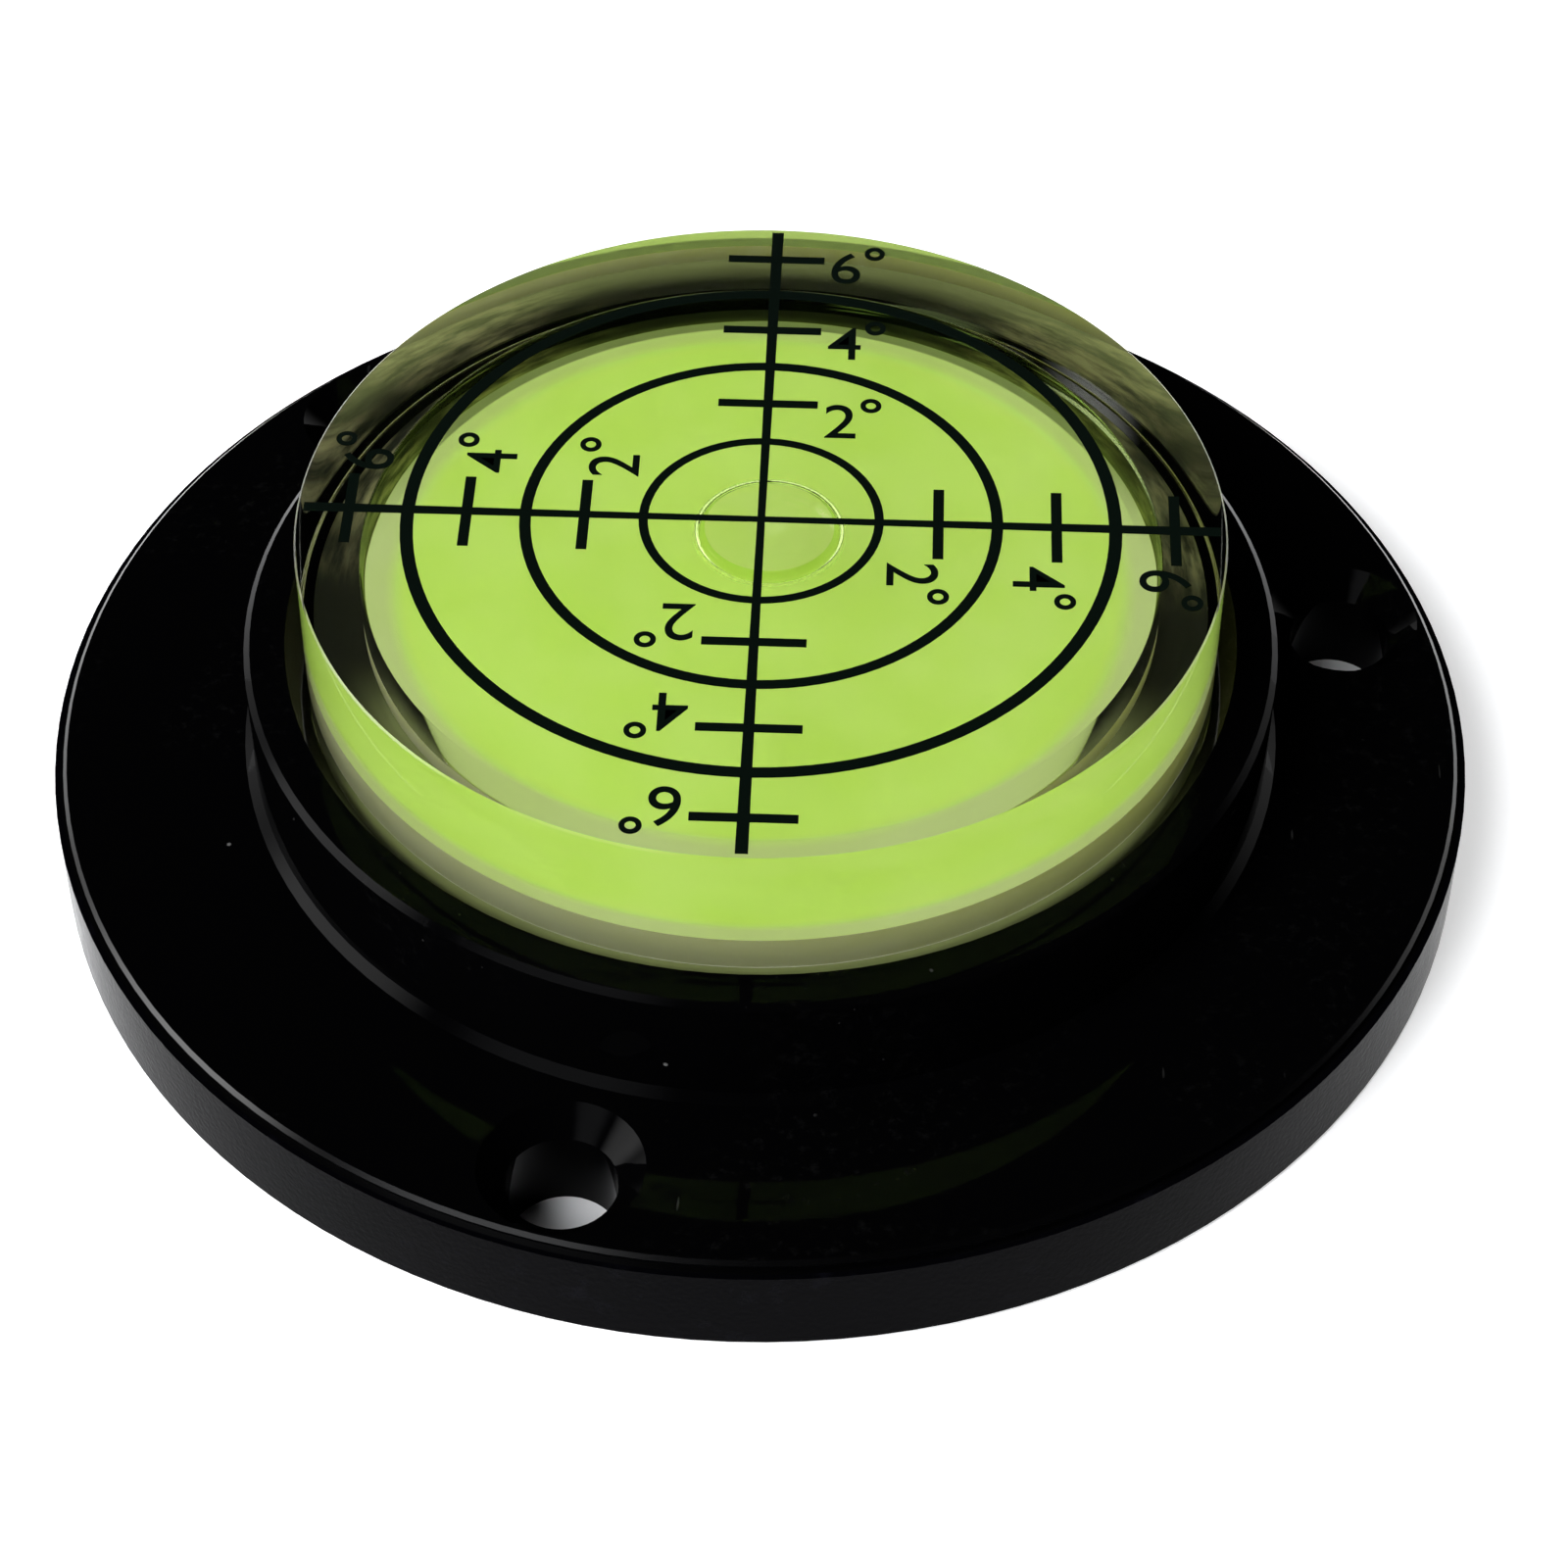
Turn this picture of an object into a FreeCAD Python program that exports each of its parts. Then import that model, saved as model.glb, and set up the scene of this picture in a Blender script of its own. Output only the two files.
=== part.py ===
import FreeCAD, Part
import Sketcher
import math
import os

from FreeCAD import Placement, Rotation, Vector

# Bullseye level with a screw-down base, in millimetres.
# The origin is the bottom centre of the base, +Z is up, +X and +Y are two arms of the dial's cross.

SIZES = (
    # The vial.
    ("vial_radius", 30.0, "outer radius of the vial"),
    ("vial_height", 12.0, "height of the vial"),
    ("vial_wall", 4.0, "thickness of the vial's side wall"),
    ("vial_edge_bevel", 0.35, "polished bevel on the vial's outer edges"),
    ("window_thickness", 2.5, "thickness of the window at its middle"),
    ("floor_thickness", 2.5, "thickness of the disc that closes the vial"),
    ("floor_edge_bevel", 0.1, "bevel round the disc's lower edge"),
    ("adhesive_thickness", 0.2, "bond between the vial and its pocket"),
    ("adhesive_margin", 0.8, "the bond stops this far inside the vial's edge"),
    # The filling hole in the disc and its plug.
    ("plug_from_wall", 7.0, "from the vial's inner wall to the middle of the filling hole"),
    ("plug_radius", 1.5, "radius of the filling hole and its plug"),
    ("plug_head_radius", 2.6, "radius of the plug's head"),
    ("plug_head_thickness", 1.0, "thickness of the head, sunk in the disc"),
    # The base: a flange with a round boss that carries the vial in a shallow pocket.
    ("pocket_clearance", 0.1, "radial gap between the vial and its pocket"),
    ("pocket_depth", 1.2, "depth of the vial's pocket below the conical lip"),
    ("lip_width", 1.2, "width of the conical lip round the pocket"),
    ("lip_drop", 2.2, "fall of the conical lip from the boss's land to the pocket"),
    ("boss_land", 2.3, "width of the flat ring on top of the boss"),
    ("boss_edge_bevel", 0.4, "bevel on the boss's outer top edge"),
    ("boss_height", 8.55, "rise of the boss above the flange"),
    ("boss_root_bevel", 0.6, "bevel between the boss and the flange"),
    ("flange_thickness", 7.35, "height of the flange's flat top"),
    ("flange_top_bevel", 0.25, "bevel round the flange's top edge"),
    ("flange_bottom_bevel", 0.4, "bevel round the edge that meets the bench"),
    ("rim_step_width", 0.6, "how far the flange's top stands in from its edge"),
    ("rim_step_height", 0.75, "height of the flange's top above that step"),
    ("core_wall", 4.0, "thickness of the boss's wall round the hollow under it, at the mouth"),
    ("core_roof", 3.2, "thickness left between the hollow and the vial's pocket"),
    ("core_draft", 0.6, "how much narrower the hollow is at its roof"),
    ("core_roof_bevel", 1.2, "bevel between the hollow's wall and its roof"),
    # The screw holes.
    ("hole_count", 3, "screws through the flange"),
    ("hole_from_boss", 7.1, "from the boss's wall out to a screw's axis"),
    ("hole_from_edge", 6.2, "from a screw's axis out to the flange's edge"),
    ("hole_angle", 15.1, "angle of the first screw from +X, in degrees"),
    ("hole_diameter", 7.0, "clearance hole"),
    ("countersink_diameter", 10.4, "mouth of the countersink"),
    ("countersink_angle", 90.0, "full angle of the countersink"),
    # The bubble, a cap of a sphere under the window.
    ("bubble_radius", 4.7, "radius of the bubble where it lies against the window"),
    ("bubble_depth", 2.9, "height of the bubble"),
    ("bubble_shift_x", 0.5, "where the bubble rests, along +X"),
    ("bubble_shift_y", 0.5, "where the bubble rests, along +Y"),
    # The dial, printed on the window.
    ("ink_thickness", 0.05, "thickness of the print"),
    ("last_bar_from_edge", 3.4, "from the vial's edge in to the outermost bar of each arm"),
    ("degrees_per_ring", 2.0, "how far the level tilts while the bubble moves by one ring"),
    ("ring_inner_width", 0.6, "line width of the first ring"),
    ("ring_middle_width", 0.75, "line width of the second ring"),
    ("ring_outer_width", 0.85, "line width of the third ring"),
    ("arm_inner_width", 0.5, "line width of the cross at the middle"),
    ("arm_outer_width", 0.8, "line width of the cross at its ends"),
    ("arm_margin", 0.1, "the cross stops this far inside the vial's bevelled edge"),
    ("bar_length", 6.6, "length of each bar across an arm"),
    ("bar_width", 0.7, "line width of each bar"),
)

ARMS = 4
BARS_ON_EACH_ARM = 3

# Heights above the bench and radii about the Z axis, as expressions on the sheet.
BOSS_TOP = "Sizes.flange_thickness + Sizes.boss_height"
POCKET_MOUTH = BOSS_TOP + " - Sizes.lip_drop"
POCKET_FLOOR = POCKET_MOUTH + " - Sizes.pocket_depth"
VIAL_BOTTOM = POCKET_FLOOR + " + Sizes.adhesive_thickness"
CAVITY_FLOOR = VIAL_BOTTOM + " + Sizes.floor_thickness"
VIAL_TOP = VIAL_BOTTOM + " + Sizes.vial_height"
WINDOW_UNDERSIDE = VIAL_TOP + " - Sizes.window_thickness"
CORE_TOP = POCKET_FLOOR + " - Sizes.core_roof"
CAVITY_RADIUS = "Sizes.vial_radius - Sizes.vial_wall"
PLUG_PLACE = CAVITY_RADIUS + " - Sizes.plug_from_wall"
SEAT_RADIUS = "Sizes.vial_radius + Sizes.pocket_clearance"
LIP_RADIUS = SEAT_RADIUS + " + Sizes.lip_width"
BOSS_RADIUS = LIP_RADIUS + " + Sizes.boss_land + Sizes.boss_edge_bevel"
HOLE_CIRCLE_RADIUS = BOSS_RADIUS + " + Sizes.hole_from_boss"
FLANGE_RADIUS = HOLE_CIRCLE_RADIUS + " + Sizes.hole_from_edge"
RIM_RADIUS = FLANGE_RADIUS + " - Sizes.rim_step_width"
CORE_RADIUS = BOSS_RADIUS + " - Sizes.core_wall"

# Each bar of an arm stands half-way between two rings, and the last one outside the last ring.
RING_PITCH = "(Sizes.vial_radius - Sizes.last_bar_from_edge) / (%d + 1 / 2)" % BARS_ON_EACH_ARM

# The bubble climbs one ring while the level tilts by so many degrees along the window's curve.
WINDOW_CURVE_RADIUS = RING_PITCH + " * 180 / (pi * Sizes.degrees_per_ring)"

# A sphere that the window's plane cuts in the bubble's radius, and the bubble's depth below it.
BUBBLE_SPHERE_RADIUS = "(Sizes.bubble_radius ^ 2 + Sizes.bubble_depth ^ 2) / (2 * Sizes.bubble_depth)"

UP = Vector(0, 0, 1)
SAME = 1e-4  # lengths this close are the same

doc = FreeCAD.newDocument("bullseye_level")

sheet = doc.addObject("Spreadsheet::Sheet", "Sizes")
for row, (alias, number, meaning) in enumerate(SIZES, start=1):
    sheet.set("A%d" % row, alias)
    sheet.set("B%d" % row, str(number))
    sheet.set("C%d" % row, meaning)
    sheet.setAlias("B%d" % row, alias)
doc.recompute()


def size(alias):
    """The number that the sheet holds under an alias."""
    return float(sheet.get(alias))


def new_body(name):
    """A sub-part of its own, whose label names its file."""
    body = doc.addObject("PartDesign::Body", name)
    body.Label = name
    return body


def origin_part(body, role):
    """One of the body's own origin planes or axes."""
    return next(part for part in body.Origin.OriginFeatures if part.Role == role)


def new_sketch(body, name, plane="XY_Plane", height=None):
    """A sketch on one of the body's planes, raised by an expression if one is given."""
    sketch = body.newObject("Sketcher::SketchObject", name)
    sketch.AttachmentSupport = [(origin_part(body, plane), "")]
    sketch.MapMode = "FlatFace"
    if height:
        sketch.setExpression(".AttachmentOffset.Base.z", height)
    return sketch


def constrain(sketch, name, constraint, expression):
    """Adds a named dimension that follows the sheet."""
    index = sketch.addConstraint(constraint)
    sketch.renameConstraint(index, name)
    sketch.setExpression("Constraints." + name, expression)


def add_circle(sketch, name, radius, centre_x=None):
    """A circle about the sketch's origin, or on its X axis. It starts rough, and the sheet sets it."""
    rough = size("plug_radius")
    start = Vector(rough, 0, 0) if centre_x else Vector(0, 0, 0)
    circle = sketch.addGeometry(Part.Circle(start, UP, rough), False)
    if centre_x:
        sketch.addConstraint(Sketcher.Constraint("PointOnObject", circle, 3, -1))
        across = Sketcher.Constraint("DistanceX", -1, 1, circle, 3, rough)
        constrain(sketch, name + "_across", across, centre_x)
    else:
        sketch.addConstraint(Sketcher.Constraint("Coincident", circle, 3, -1, 1))
    constrain(sketch, name, Sketcher.Constraint("Radius", circle, rough), radius)


def add_polygon(sketch, corners):
    """A closed outline. A corner is a pair of expressions, and None lies on that axis.

    The corners start evenly round a rough circle, clear of both axes, and the sheet sets them.
    """
    reach = size("vial_radius")
    rough = Part.Circle(Vector(2 * reach, 2 * reach, 0), UP, reach)
    step = 2 * math.pi / len(corners)
    starts = [rough.value(step * index - math.pi / 2) for index in range(len(corners))]
    for index, start in enumerate(starts):
        sketch.addGeometry(Part.LineSegment(start, starts[(index + 1) % len(starts)]), False)
    for index, (x, y) in enumerate(corners):
        following = (index + 1) % len(corners)
        sketch.addConstraint(Sketcher.Constraint("Coincident", index, 2, following, 1))
        start = starts[index]
        if x is None:
            sketch.addConstraint(Sketcher.Constraint("PointOnObject", index, 1, -2))
        else:
            across = Sketcher.Constraint("DistanceX", -1, 1, index, 1, start.x)
            constrain(sketch, "x_%d" % index, across, x)
        if y is None:
            sketch.addConstraint(Sketcher.Constraint("PointOnObject", index, 1, -1))
        else:
            along = Sketcher.Constraint("DistanceY", -1, 1, index, 1, start.y)
            constrain(sketch, "y_%d" % index, along, y)


def pad(body, name, sketch, length):
    feature = body.newObject("PartDesign::Pad", name)
    feature.Profile = sketch
    feature.setExpression("Length", length)
    doc.recompute()
    return feature


def pocket(body, name, sketch, length, upward=False):
    feature = body.newObject("PartDesign::Pocket", name)
    feature.Profile = sketch
    feature.Reversed = upward
    feature.setExpression("Length", length)
    return finish_cut(body, feature)


def groove(body, name, sketch):
    """Turns a profile about the body's Z axis and takes it away."""
    feature = body.newObject("PartDesign::Groove", name)
    feature.Profile = sketch
    feature.ReferenceAxis = (origin_part(body, "Z_Axis"), [""])
    feature.Angle = 360
    return finish_cut(body, feature)


def revolution(body, name, sketch):
    """Turns a profile about the body's Z axis and adds it."""
    feature = body.newObject("PartDesign::Revolution", name)
    feature.Profile = sketch
    feature.ReferenceAxis = (origin_part(body, "Z_Axis"), [""])
    feature.Angle = 360
    doc.recompute()
    return feature


def finish_cut(body, feature):
    """Makes sure that a cut took something away."""
    before = feature.BaseFeature.Shape.Volume
    doc.recompute()
    if not feature.Shape.Volume < before:
        raise RuntimeError(feature.Label + " cuts nothing")
    return feature


def drawn(sketch, name):
    """The number that a named dimension of a sketch has now."""
    return sketch.getDatum(name).Value


def ring_edge(feature, radius, highest=True):
    """The round edge of that radius about the Z axis, the highest one or the lowest."""
    found = []
    for index, edge in enumerate(feature.Shape.Edges, start=1):
        curve = edge.Curve
        if not isinstance(curve, Part.Circle) or abs(curve.Radius - radius) > SAME:
            continue
        if Vector(curve.Center.x, curve.Center.y, 0).Length < SAME:
            found.append((curve.Center.z, "Edge%d" % index))
    pick = max if highest else min
    return pick(found)[1]


def chamfer(body, name, edge, width):
    feature = body.newObject("PartDesign::Chamfer", name)
    feature.Base = (feature.BaseFeature, [edge])
    feature.setExpression("Size", width)
    doc.recompute()
    return feature


def polar_pattern(body, name, originals, count):
    """Repeats features evenly about the body's Z axis."""
    pattern = body.newObject("PartDesign::PolarPattern", name)
    pattern.Originals = originals
    pattern.Axis = (origin_part(body, "Z_Axis"), [""])
    pattern.Angle = 360
    pattern.setExpression("Occurrences", count)
    body.Tip = pattern
    doc.recompute()
    return pattern


def disc(body, name, radius, height, thickness):
    """A round plate about the Z axis."""
    sketch = new_sketch(body, name + "_outline", height=height)
    add_circle(sketch, "outline_radius", radius)
    return pad(body, name, sketch, thickness)


def make_mounting_base():
    """Flange and boss, vial pocket with its conical lip, hollow underside and screw holes."""
    body = new_body("mounting_base")
    flange = disc(body, "flange", FLANGE_RADIUS, None, "Sizes.flange_thickness")
    boss = disc(body, "boss", BOSS_RADIUS, None, BOSS_TOP)
    flange_radius = drawn(flange.Profile[0], "outline_radius")
    boss_radius = drawn(boss.Profile[0], "outline_radius")

    root = ring_edge(boss, boss_radius, highest=False)
    bevelled = chamfer(body, "boss_root", root, "Sizes.boss_root_bevel")
    crown = ring_edge(bevelled, boss_radius)
    bevelled = chamfer(body, "boss_crown", crown, "Sizes.boss_edge_bevel")
    lower = ring_edge(bevelled, flange_radius, highest=False)
    chamfer(body, "flange_bottom_edge", lower, "Sizes.flange_bottom_bevel")

    make_rim_step(body)
    make_vial_pocket(body)
    make_core(body)
    make_screw_holes(body)


def make_rim_step(body):
    """Narrow step round the flange's edge, and the bevel on the rim that it leaves."""
    top = "Sizes.flange_thickness"
    step = top + " - Sizes.rim_step_height"
    outside = FLANGE_RADIUS + " + Sizes.rim_step_width"
    sketch = new_sketch(body, "rim_step_profile", "XZ_Plane")
    add_polygon(sketch, [(RIM_RADIUS, step), (outside, step), (outside, top), (RIM_RADIUS, top)])
    cut = groove(body, "rim_step", sketch)
    rim = ring_edge(cut, drawn(sketch, "x_0"))
    chamfer(body, "flange_top_edge", rim, "Sizes.flange_top_bevel")


def make_vial_pocket(body):
    """Round pocket for the vial, and the cone that falls to it from the boss's land."""
    sketch = new_sketch(body, "vial_pocket_outline", height=BOSS_TOP)
    add_circle(sketch, "seat_radius", SEAT_RADIUS)
    pocket(body, "vial_pocket", sketch, "Sizes.lip_drop + Sizes.pocket_depth")
    sketch = new_sketch(body, "conical_lip_profile", "XZ_Plane")
    add_polygon(sketch, [(SEAT_RADIUS, POCKET_MOUTH), (LIP_RADIUS, BOSS_TOP), (SEAT_RADIUS, BOSS_TOP)])
    groove(body, "conical_lip", sketch)


def make_core(body):
    """Hollow under the boss that keeps the moulding's walls even, with draft."""
    sketch = new_sketch(body, "core_profile", "XZ_Plane")
    roof_radius = CORE_RADIUS + " - Sizes.core_draft"
    add_polygon(sketch, [(None, None), (CORE_RADIUS, None), (roof_radius, CORE_TOP), (None, CORE_TOP)])
    core = groove(body, "core", sketch)
    roof = ring_edge(core, drawn(sketch, "x_2"))
    chamfer(body, "core_roof", roof, "Sizes.core_roof_bevel")


def make_screw_holes(body):
    """Countersunk holes, evenly round the flange."""
    sketch = new_sketch(body, "screw_hole_centre", height="Sizes.flange_thickness")
    sketch.AttachmentOffset = Placement(sketch.AttachmentOffset.Base, Rotation(UP, 1))
    sketch.setExpression(".AttachmentOffset.Rotation.Angle", "Sizes.hole_angle")
    add_circle(sketch, "screw_hole_radius", "Sizes.hole_diameter / 2", HOLE_CIRCLE_RADIUS)
    doc.recompute()
    hole = body.newObject("PartDesign::Hole", "screw_hole")
    hole.Profile = sketch
    hole.DepthType = "ThroughAll"
    hole.ThreadType = "None"
    doc.recompute()
    hole.HoleCutType = "Countersink"
    hole.setExpression("Diameter", "Sizes.hole_diameter")
    hole.setExpression("HoleCutDiameter", "Sizes.countersink_diameter")
    hole.setExpression("HoleCutCountersinkAngle", "Sizes.countersink_angle")
    finish_cut(body, hole)
    polar_pattern(body, "screw_holes", [hole], "Sizes.hole_count")


def add_cavity_outline(sketch, floor):
    """Half of the space inside the vial: axis, floor, wall and the hollowed window above."""
    reach = size("vial_radius") - size("vial_wall")
    wall_height = size("vial_height")
    curve = reach * reach
    low = Vector(reach, 0, 0)
    high = Vector(reach, wall_height, 0)
    start_angle = math.acos(reach / curve)
    middle = Vector(0, wall_height - curve * math.sin(start_angle), 0)
    crown = Vector(0, middle.y + curve, 0)
    axis = sketch.addGeometry(Part.LineSegment(crown, Vector(0, 0, 0)), False)
    base = sketch.addGeometry(Part.LineSegment(Vector(0, 0, 0), low), False)
    wall = sketch.addGeometry(Part.LineSegment(low, high), False)
    sweep = Part.ArcOfCircle(Part.Circle(middle, UP, curve), start_angle, math.pi / 2)
    window = sketch.addGeometry(sweep, False)
    for line, following in ((axis, base), (base, wall), (wall, window), (window, axis)):
        sketch.addConstraint(Sketcher.Constraint("Coincident", line, 2, following, 1))
    sketch.addConstraint(Sketcher.Constraint("PointOnObject", axis, 1, -2))
    sketch.addConstraint(Sketcher.Constraint("PointOnObject", axis, 2, -2))
    sketch.addConstraint(Sketcher.Constraint("PointOnObject", window, 3, -2))
    sketch.addConstraint(Sketcher.Constraint("Horizontal", base))
    sketch.addConstraint(Sketcher.Constraint("Vertical", wall))
    floor_height = Sketcher.Constraint("DistanceY", -1, 1, base, 1, wall_height)
    constrain(sketch, "floor_height", floor_height, floor)
    wall_place = Sketcher.Constraint("DistanceX", -1, 1, base, 2, reach)
    constrain(sketch, "wall_place", wall_place, CAVITY_RADIUS)
    crown_height = Sketcher.Constraint("DistanceY", -1, 1, axis, 1, crown.y)
    constrain(sketch, "crown_height", crown_height, WINDOW_UNDERSIDE)
    curve_radius = Sketcher.Constraint("Radius", window, curve)
    constrain(sketch, "curve_radius", curve_radius, WINDOW_CURVE_RADIUS)


def make_vial_body():
    """Clear cup, open below, with its window on top."""
    body = new_body("vial_body")
    blank = disc(body, "cup", "Sizes.vial_radius", VIAL_BOTTOM, "Sizes.vial_height")
    upper = ring_edge(blank, size("vial_radius"))
    bevelled = chamfer(body, "cup_top_edge", upper, "Sizes.vial_edge_bevel")
    lower = ring_edge(bevelled, size("vial_radius"), highest=False)
    chamfer(body, "cup_bottom_edge", lower, "Sizes.vial_edge_bevel")
    sketch = new_sketch(body, "cavity_profile", "XZ_Plane")
    add_cavity_outline(sketch, VIAL_BOTTOM)
    groove(body, "cavity", sketch)


def make_vial_floor():
    """White disc that closes the vial from below, with the filling hole."""
    body = new_body("vial_floor")
    blank = disc(body, "floor_disc", CAVITY_RADIUS, VIAL_BOTTOM, "Sizes.floor_thickness")
    lower = ring_edge(blank, drawn(blank.Profile[0], "outline_radius"), highest=False)
    chamfer(body, "floor_edge", lower, "Sizes.floor_edge_bevel")
    sketch = new_sketch(body, "filling_hole_outline", height=VIAL_BOTTOM)
    add_circle(sketch, "hole_radius", "Sizes.plug_radius", PLUG_PLACE)
    pocket(body, "filling_hole", sketch, "Sizes.floor_thickness", upward=True)
    sketch = new_sketch(body, "plug_seat_outline", height=VIAL_BOTTOM)
    add_circle(sketch, "seat_radius", "Sizes.plug_head_radius", PLUG_PLACE)
    pocket(body, "plug_seat", sketch, "Sizes.plug_head_thickness", upward=True)


def make_filler_plug():
    """Stopper of the filling hole, flush with both faces of the disc."""
    body = new_body("filler_plug")
    sketch = new_sketch(body, "head_outline", height=VIAL_BOTTOM)
    add_circle(sketch, "head_radius", "Sizes.plug_head_radius", PLUG_PLACE)
    pad(body, "head", sketch, "Sizes.plug_head_thickness")
    sketch = new_sketch(body, "stem_outline", height=VIAL_BOTTOM)
    add_circle(sketch, "stem_radius", "Sizes.plug_radius", PLUG_PLACE)
    pad(body, "stem", sketch, "Sizes.floor_thickness")


def make_level_liquid():
    """The liquid fills the vial, less the bubble that rises against the window."""
    body = new_body("level_liquid")
    sketch = new_sketch(body, "liquid_profile", "XZ_Plane")
    add_cavity_outline(sketch, CAVITY_FLOOR)
    revolution(body, "liquid", sketch)
    bubble = body.newObject("PartDesign::SubtractiveSphere", "bubble")
    bubble.AttachmentSupport = [(origin_part(body, "XY_Plane"), "")]
    bubble.MapMode = "FlatFace"
    bubble.setExpression("Radius", BUBBLE_SPHERE_RADIUS)
    bubble.setExpression(".AttachmentOffset.Base.x", "Sizes.bubble_shift_x")
    bubble.setExpression(".AttachmentOffset.Base.y", "Sizes.bubble_shift_y")
    middle = WINDOW_UNDERSIDE + " - Sizes.bubble_depth + " + BUBBLE_SPHERE_RADIUS
    bubble.setExpression(".AttachmentOffset.Base.z", middle)
    body.Tip = bubble
    finish_cut(body, bubble)


def make_adhesive_pad():
    """Bond that holds the vial in its pocket."""
    body = new_body("adhesive_pad")
    reach = "Sizes.vial_radius - Sizes.adhesive_margin"
    disc(body, "bond", reach, POCKET_FLOOR, "Sizes.adhesive_thickness")


def make_dial_print():
    """Cross, rings and the bars across the arms, in one coat of ink on the window."""
    body = new_body("dial_print")
    reach = "Sizes.vial_radius - Sizes.vial_edge_bevel - Sizes.arm_margin"
    sketch = new_sketch(body, "arm_outline", height=VIAL_TOP)
    add_polygon(sketch, [(None, "-Sizes.arm_inner_width / 2"), (reach, "-Sizes.arm_outer_width / 2"),
                         (reach, "Sizes.arm_outer_width / 2"), (None, "Sizes.arm_inner_width / 2")])
    marks = [pad(body, "arm", sketch, "Sizes.ink_thickness")]
    for number in range(1, BARS_ON_EACH_ARM + 1):
        place = "(%d + 1 / 2) * %s" % (number, RING_PITCH)
        near = place + " - Sizes.bar_width / 2"
        far = place + " + Sizes.bar_width / 2"
        sketch = new_sketch(body, "bar_%d_outline" % number, height=VIAL_TOP)
        add_polygon(sketch, [(near, "-Sizes.bar_length / 2"), (far, "-Sizes.bar_length / 2"),
                             (far, "Sizes.bar_length / 2"), (near, "Sizes.bar_length / 2")])
        marks.append(pad(body, "bar_%d" % number, sketch, "Sizes.ink_thickness"))
    polar_pattern(body, "arms", marks, str(ARMS))
    for number, width in enumerate(("inner", "middle", "outer"), start=1):
        half_line = "Sizes.ring_%s_width / 2" % width
        sketch = new_sketch(body, "ring_%s_outline" % width, height=VIAL_TOP)
        add_circle(sketch, "outside", "%d * %s + %s" % (number, RING_PITCH, half_line))
        add_circle(sketch, "inside", "%d * %s - %s" % (number, RING_PITCH, half_line))
        body.Tip = pad(body, "ring_" + width, sketch, "Sizes.ink_thickness")


make_mounting_base()
make_adhesive_pad()
make_vial_body()
make_vial_floor()
make_filler_plug()
make_level_liquid()
make_dial_print()
doc.recompute()

bodies = [thing for thing in doc.Objects if thing.TypeId == "PartDesign::Body"]
for thing in doc.Objects:
    if "Invalid" in thing.State or "Error" in thing.State:
        raise RuntimeError(thing.Label + " failed")
for body in bodies:
    if body.Shape.isNull() or not body.Shape.isValid() or len(body.Shape.Solids) != 1:
        raise RuntimeError(body.Label + " is not one valid solid")

os.makedirs("parts", exist_ok=True)
for body in bodies:
    body.Shape.exportStep("parts/%s.step" % body.Label)
    box = body.Shape.BoundBox
    print("%-14s %9.1f mm3   z %6.2f to %6.2f" % (body.Label, body.Shape.Volume, box.ZMin, box.ZMax))
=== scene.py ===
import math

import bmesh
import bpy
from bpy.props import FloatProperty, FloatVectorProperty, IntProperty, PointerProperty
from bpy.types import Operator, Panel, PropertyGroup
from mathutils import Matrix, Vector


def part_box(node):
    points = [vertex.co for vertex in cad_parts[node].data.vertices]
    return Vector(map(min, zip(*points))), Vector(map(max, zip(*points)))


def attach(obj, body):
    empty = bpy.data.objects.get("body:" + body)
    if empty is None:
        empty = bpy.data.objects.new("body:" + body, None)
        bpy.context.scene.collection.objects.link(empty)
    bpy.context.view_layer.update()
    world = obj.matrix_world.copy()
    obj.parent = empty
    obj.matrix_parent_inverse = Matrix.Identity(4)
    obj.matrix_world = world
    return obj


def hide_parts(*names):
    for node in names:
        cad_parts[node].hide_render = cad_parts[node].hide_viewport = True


bl_info = {
    "name": "Bullseye Level",
    "version": (1, 0, 0),
    "blender": (4, 5, 0),
    "location": "View3D > Sidebar > Level",
    "description": "Gives a bullseye level its finishes and sets it on a studio table",
    "category": "Add Mesh",
}

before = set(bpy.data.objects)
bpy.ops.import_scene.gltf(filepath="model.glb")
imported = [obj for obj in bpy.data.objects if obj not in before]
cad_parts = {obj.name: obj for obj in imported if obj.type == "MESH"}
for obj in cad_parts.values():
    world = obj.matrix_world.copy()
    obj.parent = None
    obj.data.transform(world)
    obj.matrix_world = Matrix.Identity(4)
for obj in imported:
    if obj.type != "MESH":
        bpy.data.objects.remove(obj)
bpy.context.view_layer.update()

MM = 0.001

# Sizes that the frame gives, in metres.
VIAL_LOW, VIAL_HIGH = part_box("vial_body")
FLOOR_LOW, FLOOR_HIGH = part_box("vial_floor")
PRINT_LOW, PRINT_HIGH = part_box("dial_print")
FLANGE_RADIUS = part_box("mounting_base")[1].x
VIAL_RADIUS = VIAL_HIGH.x
VIAL_BOTTOM = VIAL_LOW.z
VIAL_TOP = VIAL_HIGH.z
CAVITY_RADIUS = FLOOR_HIGH.x
CAVITY_FLOOR = FLOOR_HIGH.z

# The dial: four arms, each with three bars, half-way between the rings and outside the last one.
ARMS = 4
BARS = (2, 4, 6)
BAR_HALF = 3.3 * MM
LAST_BAR_FROM_EDGE = 3.4 * MM
RING_PITCH = (VIAL_RADIUS - LAST_BAR_FROM_EDGE) / (len(BARS) + 0.5)
DEGREES_PER_RING = 2

# Faces that meet at more than this are shaded with a sharp edge.
SHARP_ANGLE = math.radians(25)

# Which finish a face of the vial or of the liquid has.
OUTSIDE, WETTED, WELDED = 0, 1, 2
SKIN, BUBBLE = 0, 1


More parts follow.
